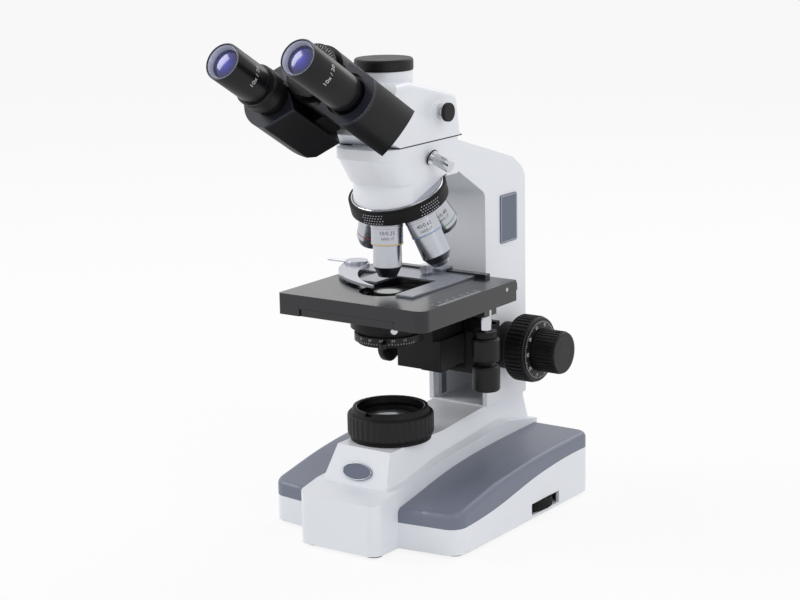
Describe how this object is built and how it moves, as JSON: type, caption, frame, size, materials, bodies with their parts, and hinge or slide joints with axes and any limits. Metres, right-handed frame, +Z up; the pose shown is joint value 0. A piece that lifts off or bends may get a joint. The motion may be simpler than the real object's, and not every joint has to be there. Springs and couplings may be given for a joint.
{
  "type": "compound microscope",
  "caption": "Trinocular compound microscope: winged base with illuminator, curved arm, focusing XY stage and condenser, revolving nosepiece, swinging eyepiece tubes and camera port.",
  "frame": {"origin": "on the bench plane below the objective in use, at the foot of the optical axis", "axes": "+X to the user's right, +Y away from the user, +Z up along the optical axis"},
  "size_m": [0.1912, 0.3337, 0.4157],
  "materials": {
    "white_paint": "satin white enamel",
    "wing_paint": "blue-grey moulded cover",
    "plate_slate": "slate satin plate",
    "black_satin": "satin black anodised aluminium",
    "black_plastic": "fine textured black plastic",
    "stage_grey": "dark grey hard coated plate",
    "satin_chrome": "satin chrome",
    "bright_steel": "ground steel",
    "brass": "turned brass",
    "rubber": "foot rubber",
    "glass": "coated optical glass",
    "mirror": "silvered mirror",
    "board": "circuit board",
    "carrier_grey": "grey cast aluminium"
  },
  "bodies": {
    "stand": {"base_casting": "white_paint", "wing_cap_left": "wing_paint", "wing_cap_right": "wing_paint", "bottom_cover": "black_satin", "rubber_feet": "rubber", "arm_casting": "white_paint", "badge_oval": "plate_slate", "arm_plate": "plate_slate", "guide_rails": "bright_steel", "focus_bushes": "black_plastic", "lamp_holder": "carrier_grey", "lamp_bulb": "glass", "collector_lens": "glass", "base_mirror": "mirror", "illuminator_mount": "black_satin", "field_lens": "glass", "circuit_board": "board", "power_inlet": "black_plastic", "nosepiece_mount": "satin_chrome"},
    "head": {"head_casting": "white_paint", "interpupillary_hub": "black_satin"},
    "right_tube": {"right_tube_housing": "black_satin", "right_prism": "glass", "right_face_plate": "plate_slate"},
    "left_tube": {"left_tube_housing": "black_satin", "left_prism": "glass", "left_face_plate": "plate_slate"},
    "right_eyepiece": {"eyepiece_right": "black_satin", "eyepiece_right_lens": "glass"},
    "left_eyepiece": {"eyepiece_left": "black_satin", "eyepiece_left_lens": "glass"},
    "diopter": {"diopter_ring": "black_satin"},
    "cap": {"photo_port_cap": "black_plastic"},
    "beam_slider": {"beam_rod": "satin_chrome", "beam_prism": "glass"},
    "clamp": {"head_clamp_screw": "satin_chrome"},
    "nosepiece": {"nosepiece_turret": "black_satin", "objective_4x": "satin_chrome", "objective_10x": "satin_chrome", "objective_20x": "satin_chrome", "objective_40x": "satin_chrome", "port_plug": "black_plastic"},
    "focus_block": {"focus_carrier": "carrier_grey", "focus_rack": "brass", "stage_lower_plate": "stage_grey"},
    "stage_top": {"stage_upper_plate": "stage_grey"},
    "slide_carriage": {"slide_holder": "carrier_grey"},
    "clip": {"clip_finger": "satin_chrome"},
    "y_knob": {"stage_y_knob": "black_plastic"},
    "x_knob": {"stage_x_knob": "black_plastic"},
    "condenser_block": {"condenser_carrier": "black_satin", "condenser": "black_satin", "condenser_lens": "glass"},
    "iris": {"iris_ring": "black_satin"},
    "condenser_pinion": {"condenser_knob": "black_plastic"},
    "coarse": {"coarse_focus_knobs": "black_plastic"},
    "fine": {"fine_focus_knobs": "black_plastic"},
    "field": {"field_ring": "black_satin"},
    "dimmer": {"dimmer_wheel": "black_plastic"},
    "rocker": {"rocker_switch": "black_plastic"}
  },
  "joints": [
    {"name": "focus_slide", "type": "slide", "parent": "stand", "child": "focus_block", "axis": [0, 0, 1], "range_m": [-0.022, 0.005]},
    {"name": "coarse_turn", "type": "hinge", "parent": "stand", "child": "coarse", "pos_m": [0, 0.13, 0.1297], "axis": [1, 0, 0], "range_deg": [-49, 211]},
    {"name": "fine_turn", "type": "hinge", "parent": "stand", "child": "fine", "pos_m": [0, 0.13, 0.1297], "axis": [1, 0, 0], "range_deg": [-180, 180]},
    {"name": "stage_y_slide", "type": "slide", "parent": "focus_block", "child": "stage_top", "axis": [0, 1, 0], "range_m": [-0.035, 0.012]},
    {"name": "stage_y_turn", "type": "hinge", "parent": "focus_block", "child": "y_knob", "pos_m": [0.055, 0.059, 0.15], "axis": [0, 0, 1], "range_deg": [-373, 129]},
    {"name": "slide_x_slide", "type": "slide", "parent": "stage_top", "child": "slide_carriage", "axis": [1, 0, 0], "range_m": [-0.025, 0.025]},
    {"name": "slide_x_turn", "type": "hinge", "parent": "focus_block", "child": "x_knob", "pos_m": [0.055, 0.059, 0.12], "axis": [0, 0, 1], "range_deg": [-173, 173]},
    {"name": "clip_turn", "type": "hinge", "parent": "slide_carriage", "child": "clip", "pos_m": [-0.07, 0.054, 0.203], "axis": [0, 0, 1], "range_deg": [-25, 0], "stiffness_Nm_per_rad": 0.05, "springref_deg": 5.73},
    {"name": "condenser_slide", "type": "slide", "parent": "focus_block", "child": "condenser_block", "axis": [0, 0, 1], "range_m": [-0.02, 0]},
    {"name": "condenser_turn", "type": "hinge", "parent": "condenser_block", "child": "condenser_pinion", "pos_m": [0, 0.054, 0.1375], "axis": [1, 0, 0], "range_deg": [-1, 196]},
    {"name": "iris_turn", "type": "hinge", "parent": "condenser_block", "child": "iris", "pos_m": [0, 0, 0.1625], "axis": [0, 0, 1], "range_deg": [-35, 35]},
    {"name": "nosepiece_turn", "type": "hinge", "parent": "stand", "child": "nosepiece", "pos_m": [0, 0, 0.32], "axis": [0, 0.342, -0.9397], "continuous": true},
    {"name": "head_turn", "type": "hinge", "parent": "stand", "child": "head", "pos_m": [0, 0, 0.318], "axis": [0, 0, 1], "range_deg": [-90, 90]},
    {"name": "right_tube_swing", "type": "hinge", "parent": "head", "child": "right_tube", "pos_m": [0, -0.14819, 0.41721], "axis": [0, 0.866, -0.5], "range_deg": [-15, 15]},
    {"name": "left_tube_swing", "type": "hinge", "parent": "head", "child": "left_tube", "pos_m": [0, -0.14819, 0.41721], "axis": [0, 0.866, -0.5], "range_deg": [-15, 15]},
    {"name": "right_eyepiece_lift", "type": "slide", "parent": "right_tube", "child": "right_eyepiece", "axis": [0, -0.866, 0.5], "range_m": [0, 0.03]},
    {"name": "left_eyepiece_focus", "type": "slide", "parent": "left_tube", "child": "left_eyepiece", "axis": [0, -0.866, 0.5], "range_m": [-0.0026, 0.0026]},
    {"name": "diopter_turn", "type": "hinge", "parent": "left_tube", "child": "diopter", "pos_m": [-0.03144, -0.15955, 0.39753], "axis": [0, -0.866, 0.5], "range_deg": [-91, 91]},
    {"name": "cap_lift", "type": "slide", "parent": "head", "child": "cap", "axis": [0, 0, 1], "range_m": [0, 0.03]},
    {"name": "beam_pull", "type": "slide", "parent": "head", "child": "beam_slider", "axis": [1, 0, 0], "range_m": [0, 0.01]},
    {"name": "clamp_turn", "type": "hinge", "parent": "stand", "child": "clamp", "pos_m": [0.0292, 0.0182, 0.3079], "axis": [0.9311, 0, -0.3649], "range_deg": [0, 360]},
    {"name": "field_turn", "type": "hinge", "parent": "stand", "child": "field", "pos_m": [0, 0, 0.09], "axis": [0, 0, 1], "range_deg": [-45, 45]},
    {"name": "dimmer_turn", "type": "hinge", "parent": "stand", "child": "dimmer", "pos_m": [0.0705, 0.091, 0.01], "axis": [0, 0, 1], "range_deg": [-130, 130]},
    {"name": "rocker_turn", "type": "hinge", "parent": "stand", "child": "rocker", "pos_m": [0.045, 0.1625, 0.0225], "axis": [1, 0, 0], "range_deg": [-7, 7]}
  ],
  "couplings": [
    {"joint": "coarse_turn", "follows": "focus_slide", "rad_per_m": -166.67},
    {"joint": "stage_y_turn", "follows": "stage_y_slide", "rad_per_m": 185.19},
    {"joint": "slide_x_turn", "follows": "slide_x_slide", "rad_per_m": 120},
    {"joint": "condenser_turn", "follows": "condenser_slide", "rad_per_m": -169.49},
    {"joint": "left_tube_swing", "follows": "right_tube_swing", "ratio": -1},
    {"joint": "diopter_turn", "follows": "left_eyepiece_focus", "rad_per_m": 604}
  ]
}
